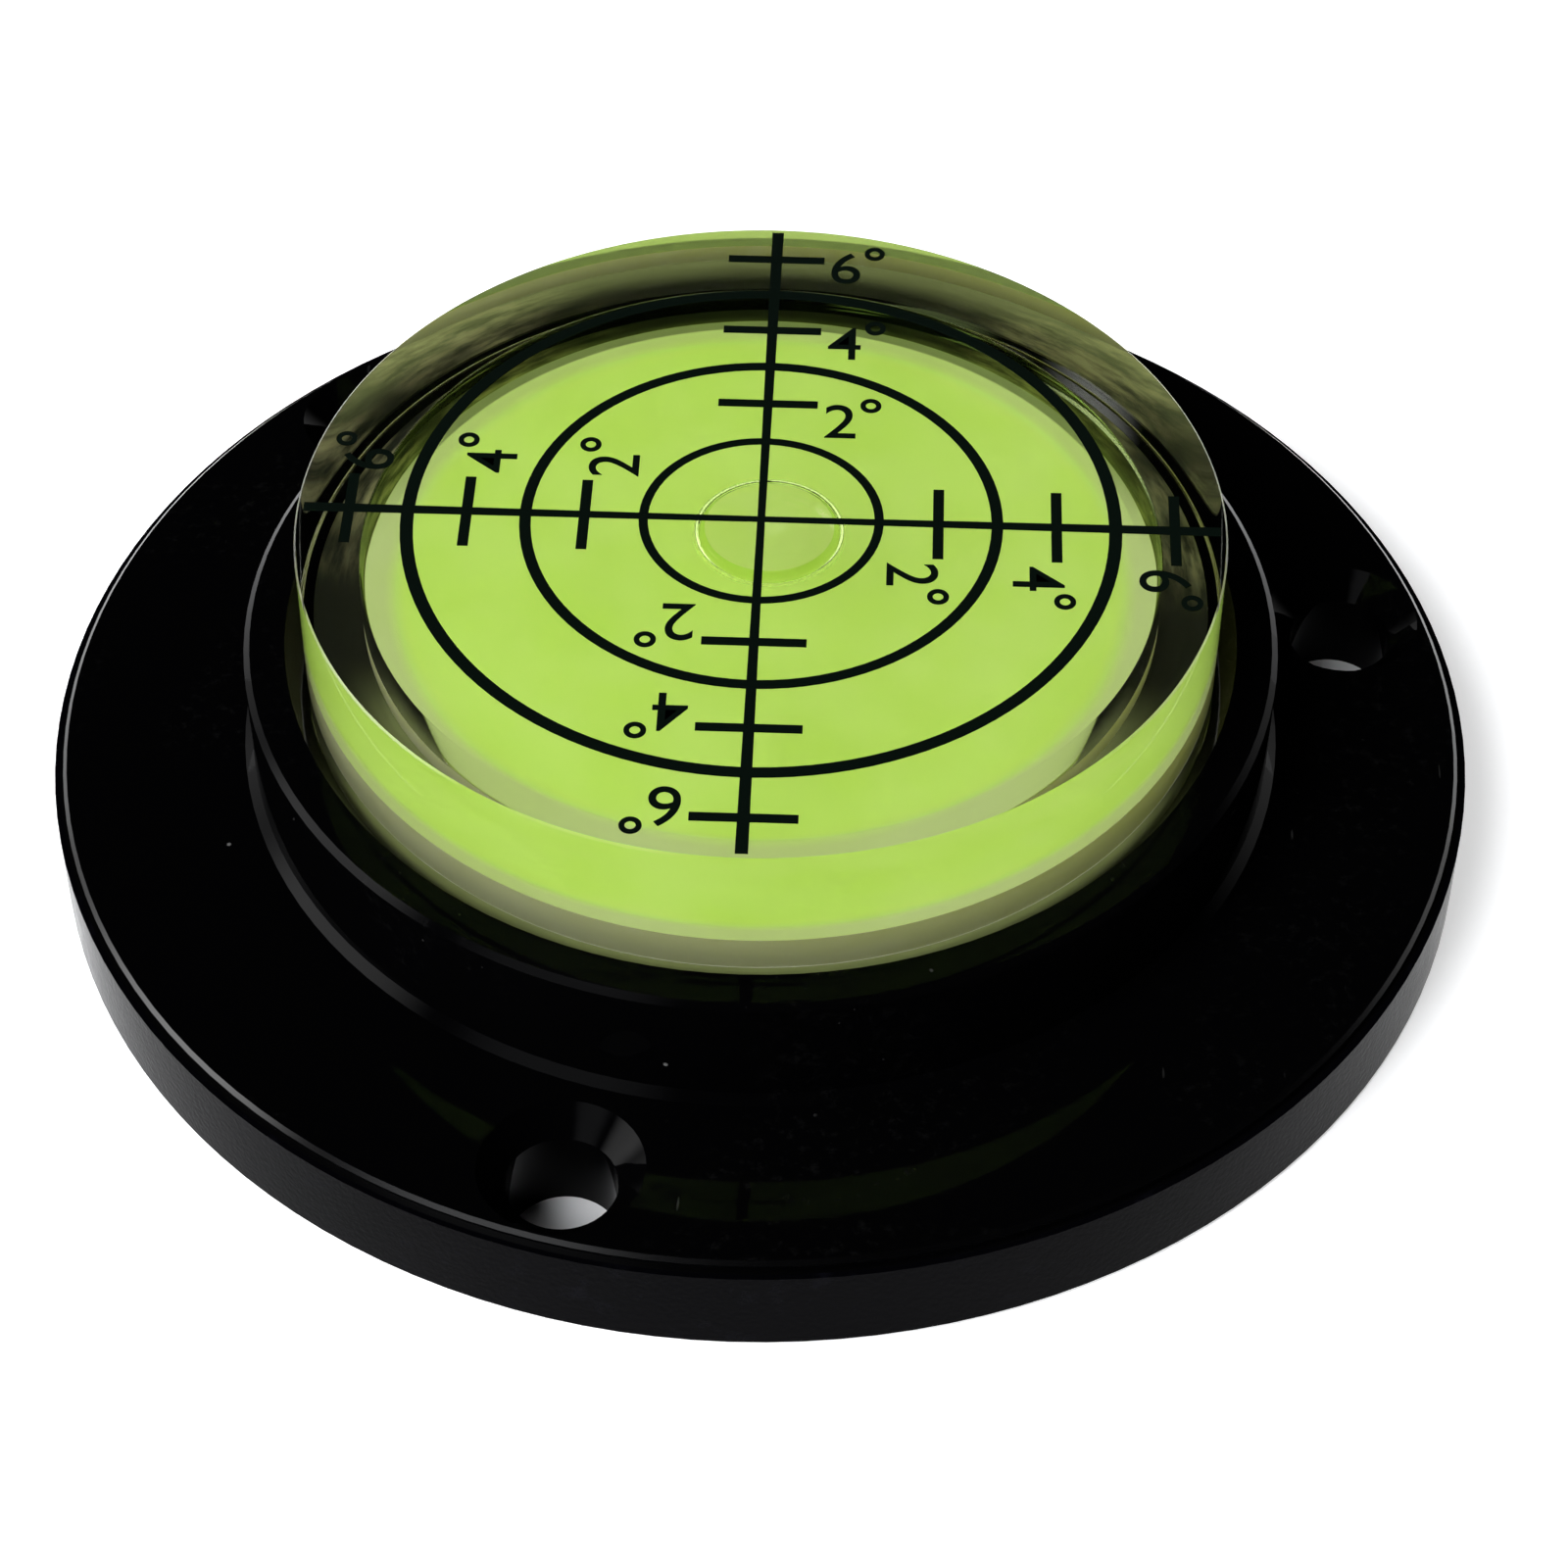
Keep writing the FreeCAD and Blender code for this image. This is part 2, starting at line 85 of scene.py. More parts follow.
class VialSettings(PropertyGroup):
    window_thickness: FloatProperty(
        name="Window thickness", description="Thickness of the window at its middle",
        default=2.5 * MM, unit="LENGTH")
    window_curve: FloatProperty(
        name="Window curve", description="Radius of the window's hollowed underside",
        default=RING_PITCH / math.radians(DEGREES_PER_RING), unit="LENGTH")
    corner: FloatProperty(
        name="Corner", description="Radius of the moulded corner between window and wall",
        default=0.6 * MM, unit="LENGTH")
    edge_bevel: FloatProperty(
        name="Edge bevel", description="Polished bevel on the vial's outer edges",
        default=0.12 * MM, unit="LENGTH")
    bond_reach: FloatProperty(
        name="Bond reach", description="Radius of the bond under the vial",
        default=VIAL_RADIUS - 0.8 * MM, unit="LENGTH")
    gap: FloatProperty(
        name="Gap", description="Hair's breadth that keeps touching surfaces apart",
        default=0.02 * MM, unit="LENGTH")
    segments: IntProperty(
        name="Segments", description="Facets round every turned clear piece", default=256)
    acrylic_color: FloatVectorProperty(
        name="Acrylic", description="Tint of the clear acrylic",
        default=(0.95, 0.985, 0.90), subtype="COLOR")
    acrylic_ior: FloatProperty(
        name="Acrylic index", description="Refractive index of the acrylic", default=1.49)
    haze: FloatProperty(
        name="Haze", description="Greatest roughness that handling leaves on the acrylic", default=0.02)
    liquid_color: FloatVectorProperty(
        name="Liquid", description="Colour of the dyed liquid",
        default=(0.82, 0.97, 0.46), subtype="COLOR")
    thin_color: FloatVectorProperty(
        name="Thin liquid", description="Colour of the thinner liquid under the bubble",
        default=(0.88, 0.97, 0.60), subtype="COLOR")
    liquid_ior: FloatProperty(
        name="Liquid index", description="Refractive index of the spirit in the vial", default=1.435)
    bubble_radius: FloatProperty(
        name="Bubble radius", description="Radius of the bubble where it is widest",
        default=5.0 * MM, unit="LENGTH")
    bubble_contact: FloatProperty(
        name="Bubble contact",
        description="Radius of the dry patch that the bubble leaves on the window",
        default=4.2 * MM, unit="LENGTH")
    bubble_shoulder: FloatProperty(
        name="Bubble shoulder", description="Depth below the window where the bubble is widest",
        default=0.9 * MM, unit="LENGTH")
    bubble_depth: FloatProperty(
        name="Bubble depth", description="Height of the bubble",
        default=2.9 * MM, unit="LENGTH")
    bubble_shift: FloatVectorProperty(
        name="Bubble place", description="Where the bubble rests, from the dial's middle",
        default=(0.5 * MM, 0.8 * MM), size=2, unit="LENGTH")


class InsideSettings(PropertyGroup):
    floor_color: FloatVectorProperty(
        name="Floor disc", description="Colour of the disc under the liquid",
        default=(0.80, 0.88, 0.50), subtype="COLOR")
    # Painted light: the disc's top glows with this, in place of the light on the dyed liquid.
    floor_glow: FloatVectorProperty(
        name="Glow", description="Light that the dye throws back from the disc",
        default=(0.42, 0.47, 0.26), subtype="COLOR")
    border_width: FloatProperty(
        name="Border", description="Width of the pale border where the disc is welded to the vial",
        default=2.1 * MM, unit="LENGTH")
    border_color: FloatVectorProperty(
        name="Border colour", description="Colour of the disc's welded border and side",
        default=(0.45, 0.42, 0.45), subtype="COLOR")
    # Painted light: the disc's pale border glows with this.
    border_glow: FloatVectorProperty(
        name="Border glow", description="Light that the dye throws back from the border",
        default=(0.46, 0.45, 0.44), subtype="COLOR")
    # Painted light: the disc's side glows with this, most near its top.
    side_glow: FloatVectorProperty(
        name="Side glow", description="Light that leaks out of the disc's side, at its top",
        default=(0.15, 0.165, 0.03), subtype="COLOR")
    plug_color: FloatVectorProperty(
        name="Plug", description="Colour of the filling hole's plug",
        default=(0.78, 0.86, 0.49), subtype="COLOR")
    bond_color: FloatVectorProperty(
        name="Bond", description="Colour of the bond over the black pocket",
        default=(0.016, 0.015, 0.009), subtype="COLOR")
    # Painted light: the bond glows with this beside the disc.
    leak_glow: FloatVectorProperty(
        name="Leak", description="Light that the bond catches beside the disc",
        default=(0.13, 0.15, 0.055), subtype="COLOR")
    leak_reach: FloatProperty(
        name="Leak reach", description="Radius that the light beside the disc reaches",
        default=CAVITY_RADIUS + 2.6 * MM, unit="LENGTH")
    # Colour of the bond's streaks and bubbles, and also of painted light on its back left and right.
    smear_color: FloatVectorProperty(
        name="Smear", description="Colour of the bond's smears and bubbles",
        default=(0.62, 0.54, 0.32), subtype="COLOR")


class BaseSettings(PropertyGroup):
    plastic_color: FloatVectorProperty(
        name="Plastic", description="Colour of the moulded base",
        default=(0.0006, 0.0006, 0.0007), subtype="COLOR")
    gloss_roughness: FloatProperty(
        name="Gloss", description="Roughness of the flange's and boss's smooth faces", default=0.04)
    gloss_level: FloatProperty(
        name="Gloss level", description="Strength of the reflection in the smooth faces", default=0.05)
    rim_width: FloatProperty(
        name="Rim", description="Width of the flange's stepped rim, with its bevel",
        default=0.87 * MM, unit="LENGTH")
    rim_level: FloatProperty(
        name="Rim level", description="Strength of the reflection in the rim's bevel", default=0.4)
    edge_color: FloatVectorProperty(
        name="Edge", description="Colour of the flange's grained edge",
        default=(0.0007, 0.0007, 0.0011), subtype="COLOR")
    edge_roughness: FloatProperty(
        name="Edge roughness", description="Roughness of the flange's grained edge", default=0.15)
    edge_level: FloatProperty(
        name="Edge level", description="Strength of the reflection in the grained edge", default=0.016)
    grain: FloatProperty(
        name="Grain", description="Size of the grain on the flange's edge",
        default=0.35 * MM, unit="LENGTH")
    dust_color: FloatVectorProperty(
        name="Dust", description="Colour of the dust and scuffs on the black plastic",
        default=(0.30, 0.30, 0.29), subtype="COLOR")


class DialSettings(PropertyGroup):
    ink_color: FloatVectorProperty(
        name="Ink", description="Colour of the print", default=(0.0015, 0.004, 0.0025), subtype="COLOR")
    ink_roughness: FloatProperty(
        name="Ink roughness", description="Roughness of the print", default=0.5)
    ink_level: FloatProperty(
        name="Ink level", description="Strength of the reflection in the print", default=0.03)
    number_height: FloatProperty(
        name="Number height", description="Height of the printed numbers",
        default=3.3 * MM, unit="LENGTH")
    boldness: FloatProperty(
        name="Boldness", description="Thickening of the numbers' strokes, on each side",
        default=0.008 * MM, unit="LENGTH")
    number_gap: FloatProperty(
        name="Number gap", description="From a bar's end to its number",
        default=0.5 * MM, unit="LENGTH")
    first_number: FloatProperty(
        name="First number", description="From the dial's middle to the foot of the first number",
        default=8.15 * MM, unit="LENGTH")
    number_pitch: FloatProperty(
        name="Number pitch", description="From one number's foot to the next",
        default=8.02 * MM, unit="LENGTH")
    degree_radius: FloatProperty(
        name="Degree sign", description="Outer radius of the degree sign",
        default=0.70 * MM, unit="LENGTH")
    degree_stroke: FloatProperty(
        name="Degree stroke", description="Width of the degree sign's stroke",
        default=0.36 * MM, unit="LENGTH")
    degree_gap: FloatProperty(
        name="Degree gap", description="From a number to its degree sign",
        default=0.25 * MM, unit="LENGTH")


class StageSettings(PropertyGroup):
    camera_elevation: FloatProperty(
        name="Elevation", description="Height of the view above the horizon",
        default=math.radians(45.844), subtype="ANGLE")
    camera_azimuth: FloatProperty(
        name="Azimuth", description="Turn of the dial under the camera",
        default=math.radians(-1.763), subtype="ANGLE")
    camera_roll: FloatProperty(
        name="Roll", description="Turn of the camera about its own axis",
        default=math.radians(0.434), subtype="ANGLE")
    camera_distance: FloatProperty(
        name="Distance", description="From the camera to the dial's middle, along the view",
        default=263.63 * MM, unit="LENGTH")
    camera_aim: FloatVectorProperty(
        name="Aim", description="Where the dial's middle lies right of and above the view's axis",
        default=(-1.467 * MM, 17.030 * MM), size=2, unit="LENGTH")
    camera_lens: FloatProperty(
        name="Lens", description="Focal length on a 36 mm frame, in millimetres", default=94.016)
    table_reach: FloatProperty(
        name="Table reach", description="From the level to each side of the table",
        default=3.0, unit="LENGTH")
    table_color: FloatVectorProperty(
        name="Table", description="Colour of the table", default=(0.80, 0.80, 0.80), subtype="COLOR")
    table_glow: FloatProperty(
        name="Table glow", description="White that the camera sees on top of the lit table",
        default=0.58)
    wall_light: FloatVectorProperty(
        name="Studio walls", description="Light from half-way up, which the gloss mirrors",
        default=(0.003, 0.003, 0.0032), subtype="COLOR")
    low_light: FloatVectorProperty(
        name="Low light", description="Light from just above the table",
        default=(0.45, 0.45, 0.46), subtype="COLOR")
    top_light: FloatVectorProperty(
        name="Overhead light", description="Brightness of the softbox over the level's far side",
        default=(1.8, 1.8, 1.8), subtype="COLOR")
    key_light: FloatVectorProperty(
        name="Key", description="Brightness of the softbox at the front left",
        default=(17.0, 17.2, 17.7), subtype="COLOR")
    key_hidden: FloatProperty(
        name="Key in gloss", description="Share of the key that glossy faces don't mirror", default=0.93)
    side_light: FloatVectorProperty(
        name="Side light", description="Brightness of the low softbox at the left",
        default=(5.0, 5.0, 5.0), subtype="COLOR")


class Signal:
    """A socket of a shader tree. Arithmetic on it adds the Math nodes that it needs."""

    def __init__(self, finish, socket):
        self.finish = finish
        self.socket = socket

    def math(self, operation, first, second):
        return self.finish.node("ShaderNodeMath", {"operation": operation}, {0: first, 1: second})

    def __add__(self, other):
        return self.math("ADD", self, other)

    __radd__ = __add__

    def __sub__(self, other):
        return self.math("SUBTRACT", self, other)

    def __rsub__(self, other):
        return self.math("SUBTRACT", other, self)

    def __mul__(self, other):
        return self.math("MULTIPLY", self, other)

    __rmul__ = __mul__

    def __truediv__(self, other):
        return self.math("DIVIDE", self, other)

    def __pow__(self, other):
        return self.math("POWER", self, other)

    def at_least(self, other):
        return self.math("MAXIMUM", self, other)

    def magnitude(self):
        return self.math("ABSOLUTE", self, 0.0)


class Finish:
    """A tree of nodes being built: a material's, or the world's."""

    def __init__(self, owner):
        owner.use_nodes = True
        self.owner = owner
        self.tree = owner.node_tree

    def feed(self, socket, value):
        if isinstance(value, Signal):
            self.tree.links.new(value.socket, socket)
        elif socket.type == "RGBA" and len(value) == 3:
            socket.default_value = (*value, 1.0)
        else:
            socket.default_value = value

    def node(self, kind, settings=None, inputs=None, output=0):
        """Adds a node, makes its settings and then feeds its sockets."""
        made = self.tree.nodes.new(kind)
        for key, value in (settings or {}).items():
            setattr(made, key, value)
        for key, value in (inputs or {}).items():
            self.feed(made.inputs[key], value)
        return None if output is None else Signal(self, made.outputs[output])

    def place(self):
        """Where the point lies in the frame, in metres."""
        return self.node("ShaderNodeTexCoord", output="Object")

    def split(self, vector):
        """The three numbers of a vector."""
        first = self.node("ShaderNodeSeparateXYZ", inputs={0: vector})
        return [Signal(self, socket) for socket in first.socket.node.outputs]

    def ramp(self, value, low, high):
        """0 below low, 1 above high, and a smooth rise between them."""
        return self.node(
            "ShaderNodeMapRange", {"interpolation_type": "SMOOTHSTEP"},
            {"Value": value, "From Min": low, "From Max": high})

    def noise(self, vector, feature, detail=2.0, roughness=0.5):
        """Smooth noise from 0 to 1 whose lumps are about that size, in metres."""
        return self.node(
            "ShaderNodeTexNoise", None,
            {"Vector": vector, "Scale": 1 / feature, "Detail": detail, "Roughness": roughness})

    def dots(self, vector, spacing, core, reach):
        """Scattered round dots, which fade from core to reach, as shares of their spacing."""
        cell = self.node(
            "ShaderNodeTexVoronoi", None, {"Vector": vector, "Scale": 1 / spacing}, "Distance")
        return 1 - self.ramp(cell, core, reach)

    def mix(self, mask, first, second):
        """First colour where the mask is 0, second where it is 1."""
        return self.node("ShaderNodeMix", {"data_type": "RGBA"}, {0: mask, 6: first, 7: second}, 2)

    def ray_kind(self, name):
        """1 for the rays that a Light Path output names."""
        return self.node("ShaderNodeLightPath", output=name)

    def bump(self, height, distance, strength=1.0):
        return self.node(
            "ShaderNodeBump", None, {"Height": height, "Distance": distance, "Strength": strength})


class Surface(Finish):
    """A material, and the shaders that it mixes."""

    def __init__(self, name):
        super().__init__(bpy.data.materials.new(name))
        self.tree.nodes.clear()

    def shader(self, **values):
        """A Principled shader whose sockets are named with an underscore for each space."""
        inputs = {key.replace("_", " "): value for key, value in values.items()}
        return self.node("ShaderNodeBsdfPrincipled", None, inputs)

    def close(self, shader):
        """Makes a shader the surface."""
        self.node("ShaderNodeOutputMaterial", None, {"Surface": shader}, output=None)
        return self


def show(piece, *surfaces):
    """Gives a piece its materials, in the order that its faces count them, and rounds its shading."""
    slots = piece.data.materials
    for index, surface in enumerate(surfaces):
        if index < len(slots):
            slots[index] = surface.owner
        else:
            slots.append(surface.owner)
    piece.data.set_sharp_from_angle(angle=SHARP_ANGLE)


def radius_of(x, y):
    """Distance from the level's axis."""
    return (x * x + y * y) ** 0.5


def base_plastic(settings):
    """Black moulded plastic: mirror gloss, a bright rim, a grained edge, and the dust on it."""
    surface = Surface("base_plastic")
    place = surface.place()
    x, y, z = surface.split(place)
    radius = radius_of(x, y)

    smudge = surface.noise(place, 9 * MM, detail=4.0, roughness=0.65)
    some_cells = surface.ramp(surface.noise(place, 3.1 * MM), 0.50, 0.66)
    specks = some_cells * surface.dots(place, 4.2 * MM, 0.02, 0.045)
    patches = surface.ramp(surface.noise(place, 13 * MM, detail=1.0), 0.50, 0.66)
    powder = surface.ramp(surface.noise(place, 0.9 * MM, detail=4.0, roughness=0.7), 0.52, 0.75)
    drawn_out = surface.node(
        "ShaderNodeVectorMath", {"operation": "MULTIPLY"}, {0: place, 1: (1.0, 0.14, 1.0)}, "Vector")
    marks = surface.ramp(surface.noise(drawn_out, 0.5 * MM, detail=1.0), 0.78, 0.83) * patches

    # How strongly each kind of dust shows.
    dust = (0.4 * specks).at_least(0.007 * patches * powder).at_least(0.08 * marks)
    gloss = surface.shader(
        Base_Color=surface.mix(dust, settings.plastic_color, settings.dust_color),
        Roughness=(settings.gloss_roughness * (0.5 + smudge)).at_least(0.7 * dust),
        Specular_IOR_Level=settings.gloss_level)

    grain = surface.noise(place, settings.grain, detail=3.0)
    worn = surface.noise(place, 2.4 * MM, detail=4.0, roughness=0.7)
    edge = surface.shader(
        Base_Color=surface.mix(surface.ramp(worn, 0.55, 0.75), settings.edge_color,
                               [3 * part for part in settings.edge_color]),
        Roughness=settings.edge_roughness + 0.2 * (worn - 0.5),
        Specular_IOR_Level=settings.edge_level,
        Normal=surface.bump(grain, 0.045 * MM, 0.5))
    rim = surface.shader(
        Base_Color=settings.plastic_color, Roughness=0.10 + 0.1 * smudge,
        Specular_IOR_Level=settings.rim_level)

    rim_from = FLANGE_RADIUS - settings.rim_width
    past_top = surface.ramp(radius, rim_from - 0.06 * MM, rim_from)
    edge_from = FLANGE_RADIUS - 0.5 * settings.rim_width
    past_rim = surface.ramp(radius, edge_from, edge_from + 0.1 * MM)
    top = surface.node("ShaderNodeMixShader", None, {0: past_top, 1: gloss, 2: rim})
    both = surface.node("ShaderNodeMixShader", None, {0: past_rim, 1: top, 2: edge})
    return surface.close(both)


def clear_surface(name, color, ior, haze=0.0):
    """A clear surface, with the faintest haze of handling if it can be touched."""
    surface = Surface(name)
    roughness = 0.0
    if haze:
        handled = surface.noise(surface.place(), 7 * MM, detail=3.0)
        roughness = haze * surface.ramp(handled, 0.45, 0.75)
    return surface.close(surface.shader(
        Base_Color=color, Roughness=roughness, IOR=ior, Transmission_Weight=1.0))


def liquid_surface(name, color, ior):
    """The dyed liquid's surface, a little uneven as the dye is."""
    surface = Surface(name)
    swirl = surface.noise(surface.place(), 12 * MM, detail=3.0)
    deeper = [part * share for part, share in zip(color, (0.95, 0.98, 0.84))]
    return surface.close(surface.shader(
        Base_Color=surface.mix(surface.ramp(swirl, 0.3, 0.7), color, deeper),
        Roughness=0.0, IOR=ior, Transmission_Weight=1.0))


def dyed_surface(name, settings, color):
    """White plastic under the dye, with painted light: its top glows with painted light in place of the
    lit dye, less so at its pale border, and its outermost ring has painted shade on the level's far
    side.

    Painted light also glows from the disc's side, most near the top, with painted shade towards its
    bottom.
    """
    surface = Surface(name)
    place = surface.place()
    x, y, z = surface.split(place)
    radius = radius_of(x, y)
    lumps = surface.noise(place, 7 * MM, detail=5.0, roughness=0.6)
    # Painted light on the disc's top, mottled by the lumps.
    darker = [part * share for part, share in zip(settings.floor_glow, (0.90, 0.94, 0.72))]
    top = surface.mix(surface.ramp(lumps, 0.3, 0.7), settings.floor_glow, darker)
    width = settings.border_width
    border = surface.ramp(radius, CAVITY_RADIUS - 1.4 * width, CAVITY_RADIUS - 0.6 * width)

    # The disc's outermost ring, with painted shade on the far side of the level.
    brim = surface.ramp(radius, CAVITY_RADIUS - 0.9 * MM, CAVITY_RADIUS - 0.7 * MM)
    far = surface.ramp(y, 2 * MM, 16 * MM)
    far_brim_painted_shade = [0.2 * part for part in settings.border_glow]
    edge = surface.mix(brim * far, settings.border_glow, far_brim_painted_shade)
    # The border's painted light is weaker on the far side, a painted shade.
    top = surface.mix((border * (1 - 0.6 * far)).at_least(brim), top, edge)

    # Painted light on the disc's side, with painted shade towards its bottom.
    side_painted_shade = [0.42 * part for part in settings.side_glow]
    height = surface.ramp(z, FLOOR_LOW.z, CAVITY_FLOOR)
    side = surface.mix(height, side_painted_shade, settings.side_glow)
    on_side = surface.ramp(radius, CAVITY_RADIUS - 0.06 * MM, CAVITY_RADIUS - 0.02 * MM)
    return surface.close(surface.shader(
        Base_Color=surface.mix(border.at_least(on_side), color, settings.border_color),
        Roughness=0.5 + 0.1 * (lumps - 0.5),
        Emission_Color=surface.mix(on_side, top, side), Emission_Strength=1.0,
        Normal=surface.bump(lumps, 0.01 * MM, 0.3)))


def bond_surface(settings):
    """Clear adhesive over the black pocket, streaked round, with painted light in its streaks at the
    back left and right, and painted light beside the disc.
    """
    surface = Surface("clear_bond")
    place = surface.place()
    x, y, z = surface.split(place)
    radius = radius_of(x, y)
    swept = surface.node(
        "ShaderNodeCombineXYZ", None,
        {0: radius, 1: x / radius * (5 * MM), 2: y / radius * (5 * MM)})
    streaks = surface.noise(swept, 0.7 * MM, detail=4.0, roughness=0.6)
    clouds = surface.noise(place, 9 * MM, detail=2.0)
    # Painted light: the pale streaks show only at the back left and right, where light falls.
    painted_light_sides = surface.ramp(y, -2 * MM, 6 * MM) * surface.ramp(x.magnitude(), 7 * MM, 18 * MM)
    smears_and_light = surface.ramp(streaks, 0.30, 0.75) * surface.ramp(clouds, 0.30, 0.60) * painted_light_sides
    some_cells = surface.ramp(surface.noise(place, 3.3 * MM), 0.58, 0.62)
    bubbles = some_cells * surface.dots(place, 2.8 * MM, 0.05, 0.12)
    # Painted light on the bond beside the disc, towards its front and back.
    beside_disc = 1 - surface.ramp(radius, CAVITY_RADIUS, settings.leak_reach)
    painted_light_beside_disc = beside_disc * surface.ramp((y + 2 * MM).magnitude(), 5 * MM, 14 * MM) * (0.5 + streaks)
    return surface.close(surface.shader(
        Base_Color=surface.mix(smears_and_light.at_least(bubbles), settings.bond_color, settings.smear_color),
        Roughness=0.45 + 0.3 * streaks,
        Emission_Color=surface.mix(painted_light_beside_disc, (0, 0, 0), settings.leak_glow), Emission_Strength=1.0,
        Normal=surface.bump(streaks, 0.05 * MM, 0.4)))


def ink_surface(settings):
    """Printing ink, slightly mottled in colour, roughness and relief."""
    surface = Surface("black_ink")
    lumps = surface.noise(surface.place(), 0.6 * MM, detail=4.0, roughness=0.6)
    darker = [0.7 * part for part in settings.ink_color]
    return surface.close(surface.shader(
        Base_Color=surface.mix(lumps, settings.ink_color, darker),
        Roughness=settings.ink_roughness + 0.1 * (lumps - 0.5),
        Specular_IOR_Level=settings.ink_level,
        Normal=surface.bump(lumps, 0.01 * MM, 0.3)))


def ring_points(centre, radius, height, segments):
    """Points round a circle. The height is a number, or a function of x and y."""
    points = []
    for step in range(segments):
        angle = 2 * math.pi * step / segments
        x = centre[0] + radius * math.cos(angle)
        y = centre[1] + radius * math.sin(angle)
        points.append(Vector((x, y, height(x, y) if callable(height) else height)))
    return points


def skin_mesh(name, rings, finishes=None):
    """A closed mesh over rings of points, which starts and ends in a single point.

    Finishes says which of the piece's materials each band between two rings has.
    """
    mesh = bpy.data.meshes.new(name)
    shape = bmesh.new()
    rows = [[shape.verts.new(point) for point in ring] for ring in rings]
    for band, (first, second) in enumerate(zip(rows, rows[1:])):
        count = max(len(first), len(second))
        for step in range(count):
            following = (step + 1) % count
            if len(first) == 1:
                corners = (first[0], second[following], second[step])
            elif len(second) == 1:
                corners = (first[step], first[following], second[0])
            else:
                corners = (first[step], first[following], second[following], second[step])
            face = shape.faces.new(corners)
            face.smooth = True
            face.material_index = finishes[band] if finishes else 0
    bmesh.ops.recalc_face_normals(shape, faces=shape.faces)
    shape.to_mesh(mesh)
    shape.free()
    return mesh


def add_piece(name, mesh):
    """Links a mesh as a piece of the level."""
    piece = bpy.data.objects.new(name, mesh)
    bpy.context.scene.collection.objects.link(piece)
    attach(piece, "root")
    return piece


class Cavity:
    """The space inside the vial, drawn in by an inset: hollowed window, corner and wall."""

    def __init__(self, settings, inset):
        self.settings = settings
        self.wall = CAVITY_RADIUS + settings.gap - inset
        self.curve = settings.window_curve - inset
        self.middle = VIAL_TOP - settings.window_thickness - settings.window_curve
        self.corner = settings.corner - inset
        self.corner_radius = self.wall - self.corner
        reach = self.curve - self.corner
        self.corner_height = self.middle + math.sqrt(reach ** 2 - self.corner_radius ** 2)
        self.corner_angle = math.asin(self.corner_radius / reach)

    def height(self, x, y, drop=0.0):
        """Height of the window's underside over a point, less a drop."""
        return self.middle + math.sqrt(self.curve ** 2 - x * x - y * y) - drop

    def crown_rings(self):
        """Rings over the window's underside, from the bubble's dry patch to the wall's top."""
        settings = self.settings
        shift = Vector(settings.bubble_shift)
        crown_edge = self.curve * math.sin(self.corner_angle)
        rings = []
        crown_steps = 24
        for step in range(crown_steps + 1):
            share = step / crown_steps
            radius = settings.bubble_contact + (crown_edge - settings.bubble_contact) * share
            rings.append(ring_points(shift * (1 - share), radius, self.height, settings.segments))
        corner_steps = 8
        for step in range(1, corner_steps + 1):
            angle = self.corner_angle + (math.pi / 2 - self.corner_angle) * step / corner_steps
            rings.append(ring_points(
                (0, 0), self.corner_radius + self.corner * math.sin(angle),
                self.corner_height + self.corner * math.cos(angle), settings.segments))
        return rings

    def bubble_rings(self):
        """Rings over the bubble, from its lowest point round its shoulder to its dry patch."""
        settings = self.settings
        shift = Vector(settings.bubble_shift)
        shoulder = settings.bubble_shoulder
        belly = settings.bubble_depth - shoulder
        lap = settings.bubble_radius - settings.bubble_contact
        profile = []
        belly_steps = 18
        for step in range(1, belly_steps):
            angle = math.pi / 2 * step / belly_steps
            profile.append((settings.bubble_radius * math.sin(angle),
                            shoulder + belly * math.cos(angle)))
        shoulder_steps = 10
        for step in range(shoulder_steps):
            angle = math.pi / 2 * (1 - step / shoulder_steps)
            profile.append((settings.bubble_contact + lap * math.sin(angle),
                            shoulder * (1 - math.cos(angle))))
        rings = [[Vector((shift.x, shift.y, self.height(*shift, settings.bubble_depth)))]]
        for radius, drop in profile:
            rings.append(ring_points(
                shift, radius, lambda x, y: self.height(x, y, drop), settings.segments))
        return rings


def build_vial(settings):
    """The cup, turned in one with its window.

    Where liquid touches the acrylic, the wetted finish bends light less than air does. Where the
    disc and the bond are joined to it, the welded finish doesn't bend it at all.
    """
    bevel = settings.edge_bevel
    bottom = VIAL_BOTTOM + settings.gap
    cavity = Cavity(settings, 0.0)
    outline = [(VIAL_RADIUS - bevel, VIAL_TOP), (VIAL_RADIUS, VIAL_TOP - bevel),
               (VIAL_RADIUS, bottom + bevel), (VIAL_RADIUS - bevel, bottom),
               (settings.bond_reach, bottom), (cavity.wall, bottom)]
    rings = [[Vector((0, 0, VIAL_TOP))]]
    rings += [ring_points((0, 0), radius, height, settings.segments) for radius, height in outline]
    rings.append(ring_points((0, 0), cavity.wall, CAVITY_FLOOR, settings.segments))
    finishes = [OUTSIDE] * 5 + [WELDED] * 2
    crown = cavity.crown_rings()[::-1]
    rings += crown
    finishes += [WETTED] * len(crown)
    shift = settings.bubble_shift
    rings.append([Vector((*shift, cavity.height(*shift)))])
    finishes.append(OUTSIDE)
    return skin_mesh("acrylic_vial", rings, finishes)


def build_liquid(settings):
    """The liquid: bubble, hollow crown, wall and floor, a hair's breadth inside the acrylic."""
    cavity = Cavity(settings, settings.gap)
    bubble = cavity.bubble_rings()
    crown = cavity.crown_rings()
    bottom = CAVITY_FLOOR + settings.gap
    rings = bubble + crown
    rings.append(ring_points((0, 0), cavity.wall, bottom, settings.segments))
    rings.append([Vector((0, 0, bottom))])
    finishes = [BUBBLE] * len(bubble) + [SKIN] * (len(rings) - len(bubble) - 1)
    return skin_mesh("dyed_liquid", rings, finishes)


